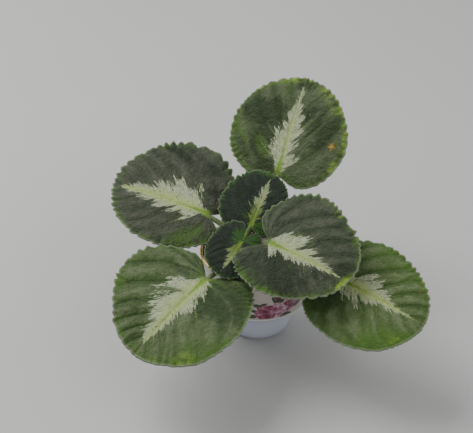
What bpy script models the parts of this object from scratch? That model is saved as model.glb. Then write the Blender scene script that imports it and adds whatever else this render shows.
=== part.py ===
"""A silver-marked primulina growing in a small footed china cup.

Every blade is a round, heart-based leaf that bends and cups a little, on its own fleshy stalk.
The stalks spring from one short crown, which stands on the potting mix inside the cup.
Metres, +Z up; the origin is the middle of the cup's foot, and the plant faces -Y.
"""

import math

import bmesh
import bpy
from mathutils import Matrix, Vector

# Cup: an oval bulb that stands on a flat foot, a neck that curves out under an overhanging
# lip, and a slightly flared wall above.
BULB_RADIUS = 0.0290
BULB_CENTRE = 0.0140
BULB_RISE = 0.76
NECK_RADIUS = 0.0115
NECK_AT = (0.0400, 0.0190)
LIP_RADIUS = 0.0420
LIP_HEIGHT = 0.0340
LIP_ROUND = 0.0012
RIM_RADIUS = 0.0475
CUP_HEIGHT = 0.0750
FLARE = 0.9
WALL_INSET = 0.0008
WALL_HEIGHTS = (0.037, 0.044, 0.053, 0.063, 0.073)
WALL = 0.0026
FLOOR = 0.0050
FLOOR_EDGE = 0.0150
CUP_STEPS = 48

# Potting mix: it fills the cup to a little under the rim.
MIX_TOP = 0.0660
MIX_CROWN = 0.0680
CLEARANCE = 0.0004

# Crown: a short thick stem near the cup's middle.
CROWN_AT = Vector((-0.002, -0.002, 0.0))
CROWN_RADIUS = 0.0070
CROWN_TOP = 0.0880
CROWN_SHAPE = ((0.0, 0.0), (0.9, 0.0), (1.0, 0.1), (0.98, 0.5), (0.9, 0.74), (0.6, 0.93), (0.0, 1.0))

# Leaves.
BLADE_THICKNESS = 0.0014
BLADE_STEPS = 48
BLADE_RINGS = (0.35, 0.65, 0.88, 1.0)
BULGE_SPREAD = 26.0
STALK_RADIUS = 0.0023
STALK_POINTS = 11
STALK_INSET = 0.0060
ROOT_SWELL = 1.1

# base: where the stalk meets the blade. heading, rise and roll (degrees) turn the blade about
# the base: the midrib's compass direction, its climb, and the lean of the blade's right side.
# length runs from base to tip; width, back lobe and centre are shares of it. notch is the
# half width of the heart's notch in degrees, skew widens the right half and lean turns the
# outline. bulges are swellings of the edge: their place in degrees from the tip, and their
# share of the radius. droop bends the tip down and cup lifts the sides. root is the stalk's
# start on the crown: its direction, height and climb.
LEAVES = {
    "leaf_back": dict(
        base=(0.0156, 0.044, 0.1167), heading=68, rise=46, roll=3, length=0.0905, width=1.12,
        back=0.61, centre=0.46, notch=18, skew=-0.02, lean=-0.03, droop=0.10, cup=0.0,
        bulges=((-150, -0.06), (-105, 0.03), (60, -0.03), (105, 0.02)), root=(74, 0.081, 30),
    ),
    "leaf_upper_left": dict(
        base=(-0.040, 0.0229, 0.0927), heading=162, rise=14, roll=17, length=0.086, width=1.29,
        back=0.57, centre=0.38, notch=12, skew=0.17, lean=0.03, droop=0.10, cup=0.04,
        bulges=((-150, 0.05), (60, -0.03), (105, 0.05), (150, -0.03)), root=(150, 0.079, 15),
    ),
    "leaf_lower_left": dict(
        base=(-0.0395, -0.046, 0.079), heading=238, rise=-1, roll=8, length=0.094, width=1.17,
        back=0.72, centre=0.42, notch=16, skew=0.03, lean=-0.09, droop=0.10, cup=0.12,
        bulges=((-150, 0.03), (60, -0.02), (150, -0.08)), root=(226, 0.0765, 12),
    ),
    "leaf_front": dict(
        base=(0.007, -0.031, 0.1015), heading=-41, rise=1, roll=-24, length=0.074, width=1.26,
        back=0.71, centre=0.31, notch=18, skew=-0.13, lean=0.0, droop=0.10, cup=0.10,
        bulges=((-150, -0.05), (-105, 0.04), (-60, -0.08), (20, -0.04), (60, -0.03)),
        root=(-55, 0.083, 50),
    ),
    "leaf_lower_right": dict(
        base=(0.060, -0.050, 0.0805), heading=-43, rise=1, roll=-23, length=0.0775, width=1.15,
        back=0.74, centre=0.39, notch=18, skew=0.03, lean=0.04, droop=0.10, cup=0.0,
        bulges=((-150, 0.02), (-60, -0.02), (20, -0.02)), root=(-38, 0.0765, 14),
    ),
    "young_leaf_upper": dict(
        base=(-0.0065, 0.004, 0.0935), heading=64, rise=34, roll=-8, length=0.051, width=1.07,
        back=0.60, centre=0.40, notch=14, skew=-0.18, lean=0.0, droop=0.05, cup=0.0,
        bulges=((-105, 0.035), (60, -0.02)), root=(200, 0.082, 60),
    ),
    "young_leaf_lower": dict(
        base=(-0.014, -0.020, 0.0945), heading=240, rise=-15, roll=20, length=0.0366, width=1.05,
        back=0.72, centre=0.23, notch=8, skew=0.16, lean=-0.02, droop=0.08, cup=0.0,
        bulges=((-150, 0.045), (20, -0.07), (150, 0.03)), root=(240, 0.082, 45),
    ),
}
YOUNG_SHARE = 0.8


def clear_scene():
    for obj in list(bpy.data.objects):
        bpy.data.objects.remove(obj, do_unlink=True)


def material(name, colour, roughness):
    made = bpy.data.materials.new(name)
    made.use_nodes = True
    shader = made.node_tree.nodes["Principled BSDF"]
    shader.inputs["Base Color"].default_value = (*colour, 1.0)
    shader.inputs["Roughness"].default_value = roughness
    shader.inputs["Metallic"].default_value = 0.0
    return made


def add_object(name, mesh, finish):
    obj = bpy.data.objects.new(name, mesh)
    bpy.context.scene.collection.objects.link(obj)
    mesh.materials.append(finish)
    mesh.shade_smooth()
    mesh.set_sharp_from_angle(angle=math.radians(40))
    return obj


def turned_mesh(name, profile, steps, centre=(0.0, 0.0, 0.0)):
    """A closed body turned about the vertical through centre, from (radius, height) points."""
    bm = bmesh.new()
    verts = [bm.verts.new((radius, 0.0, height)) for radius, height in profile]
    edges = [bm.edges.new(pair) for pair in zip(verts, verts[1:])]
    bmesh.ops.spin(
        bm, geom=verts + edges, cent=(0, 0, 0), axis=(0, 0, 1), dvec=(0, 0, 0),
        angle=math.tau, steps=steps, use_merge=True,
    )
    bmesh.ops.remove_doubles(bm, verts=bm.verts, dist=1e-6)
    bmesh.ops.recalc_face_normals(bm, faces=bm.faces)
    bmesh.ops.translate(bm, verts=bm.verts, vec=centre)
    mesh = bpy.data.meshes.new(name)
    bm.to_mesh(mesh)
    bm.free()
    return mesh


def arc(centre_radius, centre_height, radius, start, end, steps, rise=1.0):
    """Points of an arc in the (radius, height) plane; angles in degrees from +radius."""
    turns = [math.radians(start + (end - start) * i / steps) for i in range(steps + 1)]
    return [
        (centre_radius + radius * math.cos(turn), centre_height + radius * rise * math.sin(turn))
        for turn in turns
    ]


def wall_radius(height):
    """The outside radius of the flared wall above the lip."""
    share = (height - LIP_HEIGHT) / (CUP_HEIGHT - LIP_HEIGHT)
    bottom = LIP_RADIUS - WALL_INSET
    return bottom + (RIM_RADIUS - bottom) * share**FLARE


def cup_outside():
    foot_angle = -math.degrees(math.asin(BULB_CENTRE / (BULB_RADIUS * BULB_RISE)))
    bulb = arc(0, BULB_CENTRE, BULB_RADIUS, foot_angle, 8, 8, BULB_RISE)
    neck = arc(*NECK_AT, NECK_RADIUS, 175, 96, 5)
    lip = arc(LIP_RADIUS - LIP_ROUND, LIP_HEIGHT, LIP_ROUND, -65, 45, 4)
    wall = [(wall_radius(height), height) for height in WALL_HEIGHTS]
    return [(0.0, 0.0)] + bulb + neck + lip + wall


def cup_inside():
    """The hollow, from the rim down to the middle of the floor."""
    wall = [(wall_radius(height) - WALL, height) for height in reversed(WALL_HEIGHTS)]
    neck = arc(*NECK_AT, NECK_RADIUS + WALL, 98, 172, 4)
    bowl = arc(0, BULB_CENTRE, BULB_RADIUS - WALL, 0, -24, 3, BULB_RISE)
    return wall + neck + bowl + [(FLOOR_EDGE, FLOOR + 0.0003), (0.0, FLOOR)]


def make_cup():
    rim_middle = wall_radius(CUP_HEIGHT) - WALL / 2
    rim = arc(rim_middle, CUP_HEIGHT - WALL / 2, WALL / 2, 20, 160, 5)
    profile = cup_outside() + rim + cup_inside()
    mesh = turned_mesh("china_cup", profile, CUP_STEPS)
    return add_object("china_cup", mesh, material("white_china", (0.72, 0.71, 0.69), 0.15))


def make_potting_mix():
    inside = [(radius, height) for radius, height in cup_inside() if height < MIX_TOP]
    sides = [(max(radius - CLEARANCE, 0.0), height + CLEARANCE) for radius, height in inside]
    edge = wall_radius(MIX_TOP) - WALL - CLEARANCE
    top = [
        (edge * share, MIX_TOP + (MIX_CROWN - MIX_TOP) * (1 - share**2))
        for share in (0.0, 0.25, 0.5, 0.75, 1.0)
    ]
    mesh = turned_mesh("potting_mix", top + sides, CUP_STEPS)
    return add_object("potting_mix", mesh, material("dark_mix", (0.05, 0.033, 0.02), 0.95))


def crown_profile():
    bottom = MIX_CROWN + CLEARANCE
    height = CROWN_TOP - bottom
    return [(CROWN_RADIUS * radius, bottom + height * share) for radius, share in CROWN_SHAPE]


def crown_radius(height):
    """The crown's radius at a height on its side."""
    profile = crown_profile()[1:]
    for (low_radius, low), (high_radius, high) in zip(profile, profile[1:]):
        if low <= height <= high:
            return low_radius + (high_radius - low_radius) * (height - low) / (high - low)
    return 0.0


def make_crown():
    mesh = turned_mesh("crown_stem", crown_profile(), 20, CROWN_AT)
    return add_object("crown_stem", mesh, material("crown_green", (0.10, 0.11, 0.04), 0.8))


def blade_axes(leaf):
    """The midrib's direction, the direction to its right, and the upper face's normal."""
    heading, rise, roll = (math.radians(leaf[key]) for key in ("heading", "rise", "roll"))
    flat = Vector((math.cos(heading), math.sin(heading), 0.0))
    midrib = flat * math.cos(rise) + Vector((0, 0, math.sin(rise)))
    right = Matrix.Rotation(-roll, 3, midrib) @ flat.cross(Vector((0, 0, 1)))
    return midrib, right, right.cross(midrib)


def outline_radius(leaf, angle):
    """Distance from the blade's centre to its edge, as a share of its length; 0 is the tip."""
    front, back, half = 1 - leaf["centre"], leaf["back"], leaf["width"] / 2
    even = (front + back) / 2
    radius = (
        (even + half) / 2 + (front - back) / 2 * math.cos(angle)
        + (even - half) / 2 * math.cos(2 * angle)
    )
    from_base = 180 - abs(math.degrees(angle))
    radius -= (back - leaf["centre"]) * math.exp(-((from_base / leaf["notch"]) ** 2))
    uneven = leaf["skew"] * math.sin(angle) + leaf["lean"] * math.sin(2 * angle)
    for place, amount in leaf["bulges"]:
        away = (math.degrees(angle) - place + 180) % 360 - 180
        uneven += amount * math.exp(-((away / BULGE_SPREAD) ** 2))
    return radius * (1 + uneven)


def blade_point(leaf, angle, share):
    """The middle surface of the blade, share of the way from its centre to its edge."""
    radius = outline_radius(leaf, angle) * share
    across = radius * math.sin(angle)
    along = leaf["centre"] + radius * math.cos(angle)
    lift = leaf["cup"] * across**2 - leaf["droop"] * along**2
    midrib, right, normal = blade_axes(leaf)
    place = midrib * along + right * across + normal * lift
    return Vector(leaf["base"]) + place * leaf["length"]


def blade_mesh(name, leaf):
    """The blade's middle surface: a spun disc, laid onto the leaf's own shape."""
    bm = bmesh.new()
    verts = [bm.verts.new((share, 0.0, 0.0)) for share in (0.0, *BLADE_RINGS)]
    edges = [bm.edges.new(pair) for pair in zip(verts, verts[1:])]
    bmesh.ops.spin(
        bm, geom=verts + edges, cent=(0, 0, 0), axis=(0, 0, 1), dvec=(0, 0, 0),
        angle=math.tau, steps=BLADE_STEPS, use_merge=True,
    )
    bmesh.ops.remove_doubles(bm, verts=bm.verts, dist=1e-6)
    for vert in bm.verts:
        angle = math.atan2(vert.co.x, vert.co.y)
        vert.co = blade_point(leaf, angle, vert.co.length)
    bmesh.ops.recalc_face_normals(bm, faces=bm.faces)
    mesh = bpy.data.meshes.new(name)
    bm.to_mesh(mesh)
    bm.free()
    return mesh


def stalk_points(leaf, stalk_radius):
    """The stalk's centre line: out of the crown, then into the underside of the blade."""
    direction, height, climb = leaf["root"]
    direction, climb = math.radians(direction), math.radians(climb)
    outward = Vector((math.cos(direction), math.sin(direction), 0.0))
    end_radius = stalk_radius * ROOT_SWELL
    nearest = crown_radius(height + end_radius * math.cos(climb))
    from_axis = nearest + CLEARANCE + end_radius * math.sin(climb)
    start = CROWN_AT + outward * from_axis + Vector((0, 0, height))
    leaving = outward * math.cos(climb) + Vector((0, 0, math.sin(climb)))
    midrib, _, normal = blade_axes(leaf)
    end = Vector(leaf["base"]) + midrib * STALK_INSET - normal * stalk_radius * 0.7
    reach = (end - start).length * 0.38
    corners = (start, start + leaving * reach, end - midrib * reach, end)
    points = []
    for i in range(STALK_POINTS):
        t = i / (STALK_POINTS - 1)
        weights = ((1 - t) ** 3, 3 * t * (1 - t) ** 2, 3 * t**2 * (1 - t), t**3)
        points.append(sum((corner * w for corner, w in zip(corners, weights)), Vector()))
    return points


def stalk_mesh(name, points, radius):
    curve = bpy.data.curves.new(name, "CURVE")
    curve.dimensions = "3D"
    curve.bevel_depth = radius
    curve.bevel_resolution = 2
    curve.use_fill_caps = True
    spline = curve.splines.new("POLY")
    spline.points.add(len(points) - 1)
    for i, (point, place) in enumerate(zip(spline.points, points)):
        point.co = (*place, 1.0)
        point.radius = ROOT_SWELL - 0.3 * i / (len(points) - 1)
    route = bpy.data.objects.new(name, curve)
    mesh = bpy.data.meshes.new_from_object(route)
    bpy.data.objects.remove(route)
    bm = bmesh.new()
    bm.from_mesh(mesh)
    bmesh.ops.remove_doubles(bm, verts=bm.verts, dist=1e-5)
    bmesh.ops.recalc_face_normals(bm, faces=bm.faces)
    bm.to_mesh(mesh)
    bm.free()
    return mesh


def make_leaf(name, leaf, finish):
    size = YOUNG_SHARE if name.startswith("young") else 1.0
    stalk_radius = STALK_RADIUS * size
    route = stalk_points(leaf, stalk_radius)
    stalk = add_object(name + "_stalk", stalk_mesh(name + "_stalk", route, stalk_radius), finish)
    stalk.hide_render = True
    stalk.display_type = "WIRE"
    blade = add_object(name, blade_mesh(name, leaf), finish)
    solid = blade.modifiers.new("thickness", "SOLIDIFY")
    solid.thickness = BLADE_THICKNESS * size
    solid.offset = 0.0
    join = blade.modifiers.new("stalk", "BOOLEAN")
    join.operation = "UNION"
    join.solver = "EXACT"
    join.object = stalk
    return blade


def main():
    clear_scene()
    make_cup()
    make_potting_mix()
    make_crown()
    old_green = material("leaf_green", (0.075, 0.11, 0.045), 0.75)
    young_green = material("young_leaf_green", (0.03, 0.06, 0.025), 0.7)
    for name, leaf in LEAVES.items():
        make_leaf(name, leaf, young_green if name.startswith("young") else old_green)


main()
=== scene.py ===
import math
import random
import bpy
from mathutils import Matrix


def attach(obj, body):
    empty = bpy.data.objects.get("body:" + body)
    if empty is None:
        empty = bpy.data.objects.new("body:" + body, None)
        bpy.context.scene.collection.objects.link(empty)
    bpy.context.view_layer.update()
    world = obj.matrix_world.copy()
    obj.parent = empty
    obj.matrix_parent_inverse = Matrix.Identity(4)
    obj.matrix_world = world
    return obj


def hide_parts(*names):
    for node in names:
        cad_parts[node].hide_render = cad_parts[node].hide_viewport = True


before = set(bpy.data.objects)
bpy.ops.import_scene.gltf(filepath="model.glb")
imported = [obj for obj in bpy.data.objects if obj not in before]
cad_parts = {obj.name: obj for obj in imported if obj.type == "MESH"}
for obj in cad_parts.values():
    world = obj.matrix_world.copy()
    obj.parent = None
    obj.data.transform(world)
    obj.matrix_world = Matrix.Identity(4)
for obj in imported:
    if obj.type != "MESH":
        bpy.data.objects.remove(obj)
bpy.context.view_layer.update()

from types import SimpleNamespace

import bmesh
import bpy
from mathutils import Matrix, Vector, noise

# China cup: an oval bulb on a flat foot, a thin lip that stands out over it and a flared wall
# above. It is slip-cast porcelain, fired, dipped in clear glaze and fired again, and then the
# printed flowers and the gilt line at the rim are fired on over the glaze.
BULB_RADIUS = 0.0290
BULB_CENTRE = 0.0140
BULB_RISE = 0.76
FOOT_BEVEL = 0.0006
NECK_RADIUS = 0.0115
NECK_AT = (0.0400, 0.0190)
LIP_RADIUS = 0.0420
LIP_HEIGHT = 0.0340
LIP_ROUND = 0.0012
RIM_RADIUS = 0.0475
CUP_HEIGHT = 0.0750
FLARE = 0.9
WALL = 0.0026
WALL_INSET = 0.0008
WALL_FROM = 0.0352
WALL_RISE = 0.0380
WALL_RINGS = 24
FLOOR = 0.0050
FLOOR_DISH = 0.0003
FLOOR_RADIUS = 0.0150
CUP_STEPS = 160
GILT_HEIGHT = 0.0737


def arc(centre_radius, centre_height, radius, start, end, steps, rise=1.0):
    """Points of an arc in the (radius, height) plane; angles in degrees from +radius."""
    turns = [math.radians(start + (end - start) * i / steps) for i in range(steps + 1)]
    return [
        (centre_radius + radius * math.cos(turn), centre_height + radius * rise * math.sin(turn))
        for turn in turns
    ]


def wall_radius(height):
    """The outside radius of the flared wall above the lip."""
    share = (height - LIP_HEIGHT) / (CUP_HEIGHT - LIP_HEIGHT)
    bottom = LIP_RADIUS - WALL_INSET
    return bottom + (RIM_RADIUS - bottom) * share**FLARE


def spun(profile, steps):
    """A bmesh turned about the Z axis from (radius, height) points."""
    bm = bmesh.new()
    verts = [bm.verts.new((radius, 0.0, height)) for radius, height in profile]
    edges = [bm.edges.new(pair) for pair in zip(verts, verts[1:])]
    bmesh.ops.spin(
        bm, geom=verts + edges, cent=(0, 0, 0), axis=(0, 0, 1), dvec=(0, 0, 0),
        angle=math.tau, steps=steps, use_merge=True,
    )
    bmesh.ops.remove_doubles(bm, verts=bm.verts, dist=1e-6)
    bmesh.ops.recalc_face_normals(bm, faces=bm.faces)
    return bm


def add_piece(name, bm, finishes):
    """An object in the scene from a bmesh, smooth, with its finishes in order."""
    mesh = bpy.data.meshes.new(name)
    bm.to_mesh(mesh)
    bm.free()
    mesh.shade_smooth()
    for finish in finishes:
        mesh.materials.append(finish)
    piece = bpy.data.objects.new(name, mesh)
    bpy.context.scene.collection.objects.link(piece)
    return piece


def socket_into(tree, socket, value):
    """Links a socket's value, or sets a plain one."""
    if isinstance(value, bpy.types.NodeSocket):
        tree.links.new(value, socket)
    else:
        socket.default_value = value


def maths(tree, operation, *values):
    node = tree.nodes.new("ShaderNodeMath")
    node.operation = operation
    for socket, value in zip(node.inputs, values):
        socket_into(tree, socket, value)
    return node.outputs[0]


def plus(tree, total, *rest):
    for value in rest:
        total = maths(tree, "ADD", total, value)
    return total


def minus(tree, first, second):
    return maths(tree, "SUBTRACT", first, second)


def times(tree, product, *rest):
    for value in rest:
        product = maths(tree, "MULTIPLY", product, value)
    return product


def distance(tree, x, y):
    """How far (x, y) is from (0, 0)."""
    return maths(tree, "POWER", plus(tree, times(tree, x, x), times(tree, y, y)), 0.5)


def ramp(tree, value, low, high, start=0.0, end=1.0):
    """A smooth step: start where value is low, end where it is high."""
    node = tree.nodes.new("ShaderNodeMapRange")
    node.interpolation_type = "SMOOTHSTEP"
    for socket, given in zip(node.inputs, (value, low, high, start, end)):
        socket_into(tree, socket, given)
    return node.outputs[0]


def blend(tree, share, first, second):
    """First where share is 0 and second where it is 1."""
    node = tree.nodes.new("ShaderNodeMix")
    node.data_type = "RGBA"
    for index, value in ((0, share), (6, first), (7, second)):
        colour = (*value, 1.0) if isinstance(value, tuple) else value
        socket_into(tree, node.inputs[index], colour)
    return node.outputs[2]


def vector(tree, x, y, z):
    node = tree.nodes.new("ShaderNodeCombineXYZ")
    for socket, value in zip(node.inputs, (x, y, z)):
        socket_into(tree, socket, value)
    return node.outputs[0]


def split(tree, place):
    node = tree.nodes.new("ShaderNodeSeparateXYZ")
    tree.links.new(place, node.inputs[0])
    return node.outputs


def grain(tree, place, scale, detail=2.0, rough=0.5):
    """Soft random grain between 0 and 1."""
    node = tree.nodes.new("ShaderNodeTexNoise")
    socket_into(tree, node.inputs["Vector"], place)
    node.inputs["Scale"].default_value = scale
    node.inputs["Detail"].default_value = detail
    node.inputs["Roughness"].default_value = rough
    return node.outputs["Fac"]


def cells(tree, place, scale, feature):
    """Random cells: the distance to a cell's middle (F1) or to its edge (DISTANCE_TO_EDGE)."""
    node = tree.nodes.new("ShaderNodeTexVoronoi")
    node.feature = feature
    node.inputs["Scale"].default_value = scale
    tree.links.new(place, node.inputs["Vector"])
    return node.outputs["Distance"]


def bump(tree, height, depth, strength=1.0):
    node = tree.nodes.new("ShaderNodeBump")
    node.inputs["Strength"].default_value = strength
    node.inputs["Distance"].default_value = depth
    tree.links.new(height, node.inputs["Height"])
    return node.outputs[0]


def new_finish(name, **constants):
    """A Principled finish: its node tree, its shader and the piece's own coordinates."""
    finish = bpy.data.materials.new(name)
    finish.use_nodes = True
    tree = finish.node_tree
    shader = tree.nodes["Principled BSDF"]
    for socket, value in constants.items():
        shader.inputs[socket.replace("_", " ")].default_value = value
    here = tree.nodes.new("ShaderNodeTexCoord").outputs["Object"]
    return finish, tree, shader, here


def lay_on(tree, shader, colour, rough, normal=None):
    """Gives a finish its colour, its roughness and, where it has one, its bump."""
    socket_into(tree, shader.inputs["Base Color"], colour)
    socket_into(tree, shader.inputs["Roughness"], rough)
    if normal is not None:
        tree.links.new(normal, shader.inputs["Normal"])


# The print repeats three times round the wall. Its drawing is in millimetres, round the wall
# from the front and up from the lip, and runs on to the right for PRINT_RIGHT of a repeat.
PRINT_REPEATS = 3
PRINT_RADIUS_MM = 43.5
PRINT_RIGHT = 0.72
MAROON = (0.075, 0.006, 0.022)
ROSE_PINK = (0.26, 0.045, 0.110)
LILAC = (0.42, 0.19, 0.28)
SHELL_PINK = (0.64, 0.56, 0.58)
PRINT_GREEN = (0.022, 0.038, 0.016)
PRINT_OLIVE = (0.10, 0.12, 0.05)
BLOSSOM_RISE = 0.86
PETAL_SCALE = 1.9
PRINTED_LEAF_HALF_WIDTH = 0.46

# Where a printed leaf starts, its heading in degrees and its length.
PRINTED_LEAVES = (
    ((-1.5, 16.0), 165, 5.0), ((3.0, 16.5), 30, 4.6), ((-5.0, 4.0), 190, 5.4),
    ((32.5, 15.0), 30, 7.4), ((33.5, 9.5), 8, 7.0), ((28.5, 19.0), 62, 5.4),
    ((13.0, 20.5), 125, 6.4), ((18.5, 20.0), 45, 6.6), ((15.5, 18.0), 175, 4.6),
    ((23.5, 1.8), -6, 7.5), ((9.0, 0.6), 183, 5.0), ((-4.0, 10.0), 155, 4.0),
)
# A blossom's middle, radius, seed and its inside, middle and outside colours.
BLOSSOMS = (
    ((24.5, 11.6), 9.4, 3.0, (MAROON, ROSE_PINK, LILAC)),
    ((15.6, 9.4), 10.0, 5.0, (ROSE_PINK, LILAC, SHELL_PINK)),
    ((6.0, 8.4), 10.6, 9.0, (MAROON, ROSE_PINK, LILAC)),
    ((15.6, 22.5), 3.4, 4.0, (MAROON, MAROON, ROSE_PINK)),
)

# The wall's two ivory colours are the glaze's own tone darkened with painted shade of the leaves above, and
# the bulb's blue is partly its own white and partly a painted cool reflection.
WALL_IVORY_DARK_SHADED, WALL_IVORY_PALE_SHADED = (0.45, 0.41, 0.36), (0.50, 0.46, 0.41)
# The bulb's second, greyer colour is painted shade just under the lip.
BULB_BLUE_AND_REFLECTION, BULB_PAINTED_SHADE = (0.54, 0.56, 0.67), (0.34, 0.35, 0.40)
# The lip's white is a painted highlight on its rounded edge.
LIP_PAINTED_HIGHLIGHT = (0.70, 0.69, 0.68)
SPECK_BROWN = (0.38, 0.34, 0.28)
BARE_CLAY = (0.52, 0.49, 0.44)
GILT_DARK, GILT_BRIGHT = (0.55, 0.36, 0.11), (0.74, 0.55, 0.22)
# How far below the lip the painted shade reaches.
PAINTED_SHADE_DEPTH = 0.0060
GLAZE_FADE = 0.0004
WALL_SLOPE = 0.12
WALL_MIDDLE = 0.0360


def blossom(tree, ground, place, at, size, seed, colours):
    """A round flower over the ground colour: petals overlap, dark inside and pale outside."""
    dark, middle, light = colours
    right = maths(tree, "DIVIDE", minus(tree, place[0], at[0]), size)
    up = maths(tree, "DIVIDE", minus(tree, place[1], at[1]), size * BLOSSOM_RISE)
    out = distance(tree, right, up)
    wobble = grain(tree, vector(tree, right, up, seed), 2.6)
    swirl = vector(tree, plus(tree, right, wobble), minus(tree, up, wobble), seed)
    petals = cells(tree, swirl, PETAL_SCALE, "F1")
    creases = cells(tree, swirl, PETAL_SCALE, "DISTANCE_TO_EDGE")
    edge = minus(tree, plus(tree, 0.80, times(tree, wobble, 0.45)), times(tree, petals, 0.30))
    inside = ramp(tree, minus(tree, edge, out), -0.02, 0.03)
    crease = ramp(tree, creases, 0.0, 0.10, 0.30, 0.0)
    shade = plus(tree, times(tree, petals, 0.8), times(tree, out, 0.55), crease)
    petal = blend(tree, ramp(tree, shade, 0.30, 0.75), dark, middle)
    petal = blend(tree, ramp(tree, shade, 0.75, 1.15), petal, light)
    return blend(tree, inside, ground, petal)


def printed_leaf(tree, ground, place, at, heading, size):
    """A small pointed leaf with a pale midrib over the ground colour."""
    turn = math.radians(heading)
    forward, sideways = math.cos(turn) / size, math.sin(turn) / size
    right, up = minus(tree, place[0], at[0]), minus(tree, place[1], at[1])
    ahead = plus(tree, times(tree, right, forward), times(tree, up, sideways))
    aside = minus(tree, times(tree, up, forward), times(tree, right, sideways))
    aside = maths(tree, "ABSOLUTE", aside)
    ragged = times(tree, grain(tree, vector(tree, ahead, aside, heading), 7.0), 0.16)
    half = minus(tree, PRINTED_LEAF_HALF_WIDTH, times(tree, ahead, ahead, PRINTED_LEAF_HALF_WIDTH))
    inside = ramp(tree, minus(tree, half, plus(tree, aside, ragged)), -0.02, 0.05)
    green = blend(tree, ramp(tree, aside, 0.02, 0.10), PRINT_OLIVE, PRINT_GREEN)
    return blend(tree, inside, ground, green)


def print_over(tree, ground, x, y, z):
    """The leaves and then the blossoms, over the ground colour."""
    turn = maths(tree, "ARCTAN2", x, times(tree, y, -1.0))
    repeat = math.tau / PRINT_REPEATS
    turn = maths(tree, "WRAP", turn, repeat * PRINT_RIGHT, repeat * PRINT_RIGHT - repeat)
    place = times(tree, turn, PRINT_RADIUS_MM), times(tree, minus(tree, z, LIP_HEIGHT), 1000.0)
    for drawing in PRINTED_LEAVES:
        ground = printed_leaf(tree, ground, place, *drawing)
    for drawing in BLOSSOMS:
        ground = blossom(tree, ground, place, *drawing)
    return ground


def china_finish():
    """The glaze is ivory on the wall, darkened there with painted shade of the leaves above, and bluish on
    the bulb, partly a painted cool reflection; the bulb has painted shade just under the lip and the lip a
    painted highlight on its edge, and the foot's ring is bare.
    """
    finish, tree, shader, here = new_finish("printed_china", Coat_Weight=0.6, Coat_Roughness=0.06, IOR=1.5)
    x, y, z = split(tree, here)
    # Ivory wall, darkened with painted shade of the leaves above.
    wall = blend(tree, ramp(tree, grain(tree, here, 90.0, 4.0), 0.3, 0.7), WALL_IVORY_DARK_SHADED, WALL_IVORY_PALE_SHADED)
    lip_under, lip_top = LIP_HEIGHT - LIP_ROUND, LIP_HEIGHT + LIP_ROUND
    # Painted shade on the bulb just under the lip, then a painted highlight on the lip's rounded edge.
    bulb = blend(
        tree, ramp(tree, z, LIP_HEIGHT - PAINTED_SHADE_DEPTH, lip_under - GLAZE_FADE), BULB_BLUE_AND_REFLECTION, BULB_PAINTED_SHADE)
    bulb = blend(tree, ramp(tree, z, lip_under - GLAZE_FADE, lip_under), bulb, LIP_PAINTED_HIGHLIGHT)
    glaze = blend(tree, ramp(tree, z, LIP_HEIGHT + 0.0002, lip_top), bulb, wall)
    speck = ramp(tree, grain(tree, here, 1100.0, 1.0), 0.74, 0.80, 0.0, 0.22)
    glaze = blend(tree, speck, glaze, SPECK_BROWN)
    above = ramp(tree, z, lip_top - GLAZE_FADE, lip_top)
    upright = minus(tree, distance(tree, x, y), times(tree, z, WALL_SLOPE))
    outside = ramp(tree, upright, WALL_MIDDLE - 0.0002, WALL_MIDDLE + 0.0002)
    colour = blend(tree, times(tree, above, outside), glaze, print_over(tree, glaze, x, y, z))
    glazed = ramp(tree, z, FOOT_BEVEL / 2, FOOT_BEVEL)
    colour = blend(tree, glazed, BARE_CLAY, colour)
    shine = ramp(tree, grain(tree, here, 60.0, 3.0), 0.3, 0.7, 0.10, 0.17)
    rough = maths(tree, "MAXIMUM", shine, minus(tree, 0.6, glazed))
    lay_on(tree, shader, colour, rough, bump(tree, grain(tree, here, 120.0, 2.0), 0.00012))
    return finish


def gilt_finish():
    finish, tree, shader, here = new_finish("gilt", Metallic=1.0)
    worn = grain(tree, here, 260.0, 4.0)
    lay_on(tree, shader, blend(tree, worn, GILT_DARK, GILT_BRIGHT), ramp(tree, worn, 0.3, 0.7, 0.20, 0.38))
    return finish


foot_angle = -math.degrees(math.asin(BULB_CENTRE / (BULB_RADIUS * BULB_RISE)))
foot_radius = BULB_RADIUS * math.cos(math.radians(foot_angle)) - FOOT_BEVEL
wall_heights = [WALL_FROM + WALL_RISE * i / WALL_RINGS for i in range(WALL_RINGS + 1)]
inside_wall = [(wall_radius(height) - WALL, height) for height in reversed(wall_heights)]
cup_inside = (
    inside_wall[:-2]
    + arc(*NECK_AT, NECK_RADIUS + WALL, 98, 172, 12)
    + arc(0, BULB_CENTRE, BULB_RADIUS - WALL, 0, -24, 8, BULB_RISE)
    + [(FLOOR_RADIUS, FLOOR + FLOOR_DISH), (0.0, FLOOR)]
)
cup_profile = (
    [(0.0, 0.0), (foot_radius, 0.0)]
    + arc(0, BULB_CENTRE, BULB_RADIUS, foot_angle + 2, 8, 26, BULB_RISE)
    + arc(*NECK_AT, NECK_RADIUS, 175, 96, 18)
    + arc(LIP_RADIUS - LIP_ROUND, LIP_HEIGHT, LIP_ROUND, -65, 55, 10)
    + [(wall_radius(height), height) for height in wall_heights]
    + arc(wall_radius(CUP_HEIGHT) - WALL / 2, CUP_HEIGHT - WALL / 2, WALL / 2, 5, 175, 12)
    + cup_inside
)
cup_body = spun(cup_profile, CUP_STEPS)
for face in cup_body.faces:
    face.material_index = int(face.calc_center_median().z > GILT_HEIGHT)
cup = add_piece("china_cup_glazed", cup_body, [china_finish(), gilt_finish()])
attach(cup, "root")
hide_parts("china_cup")

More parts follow.
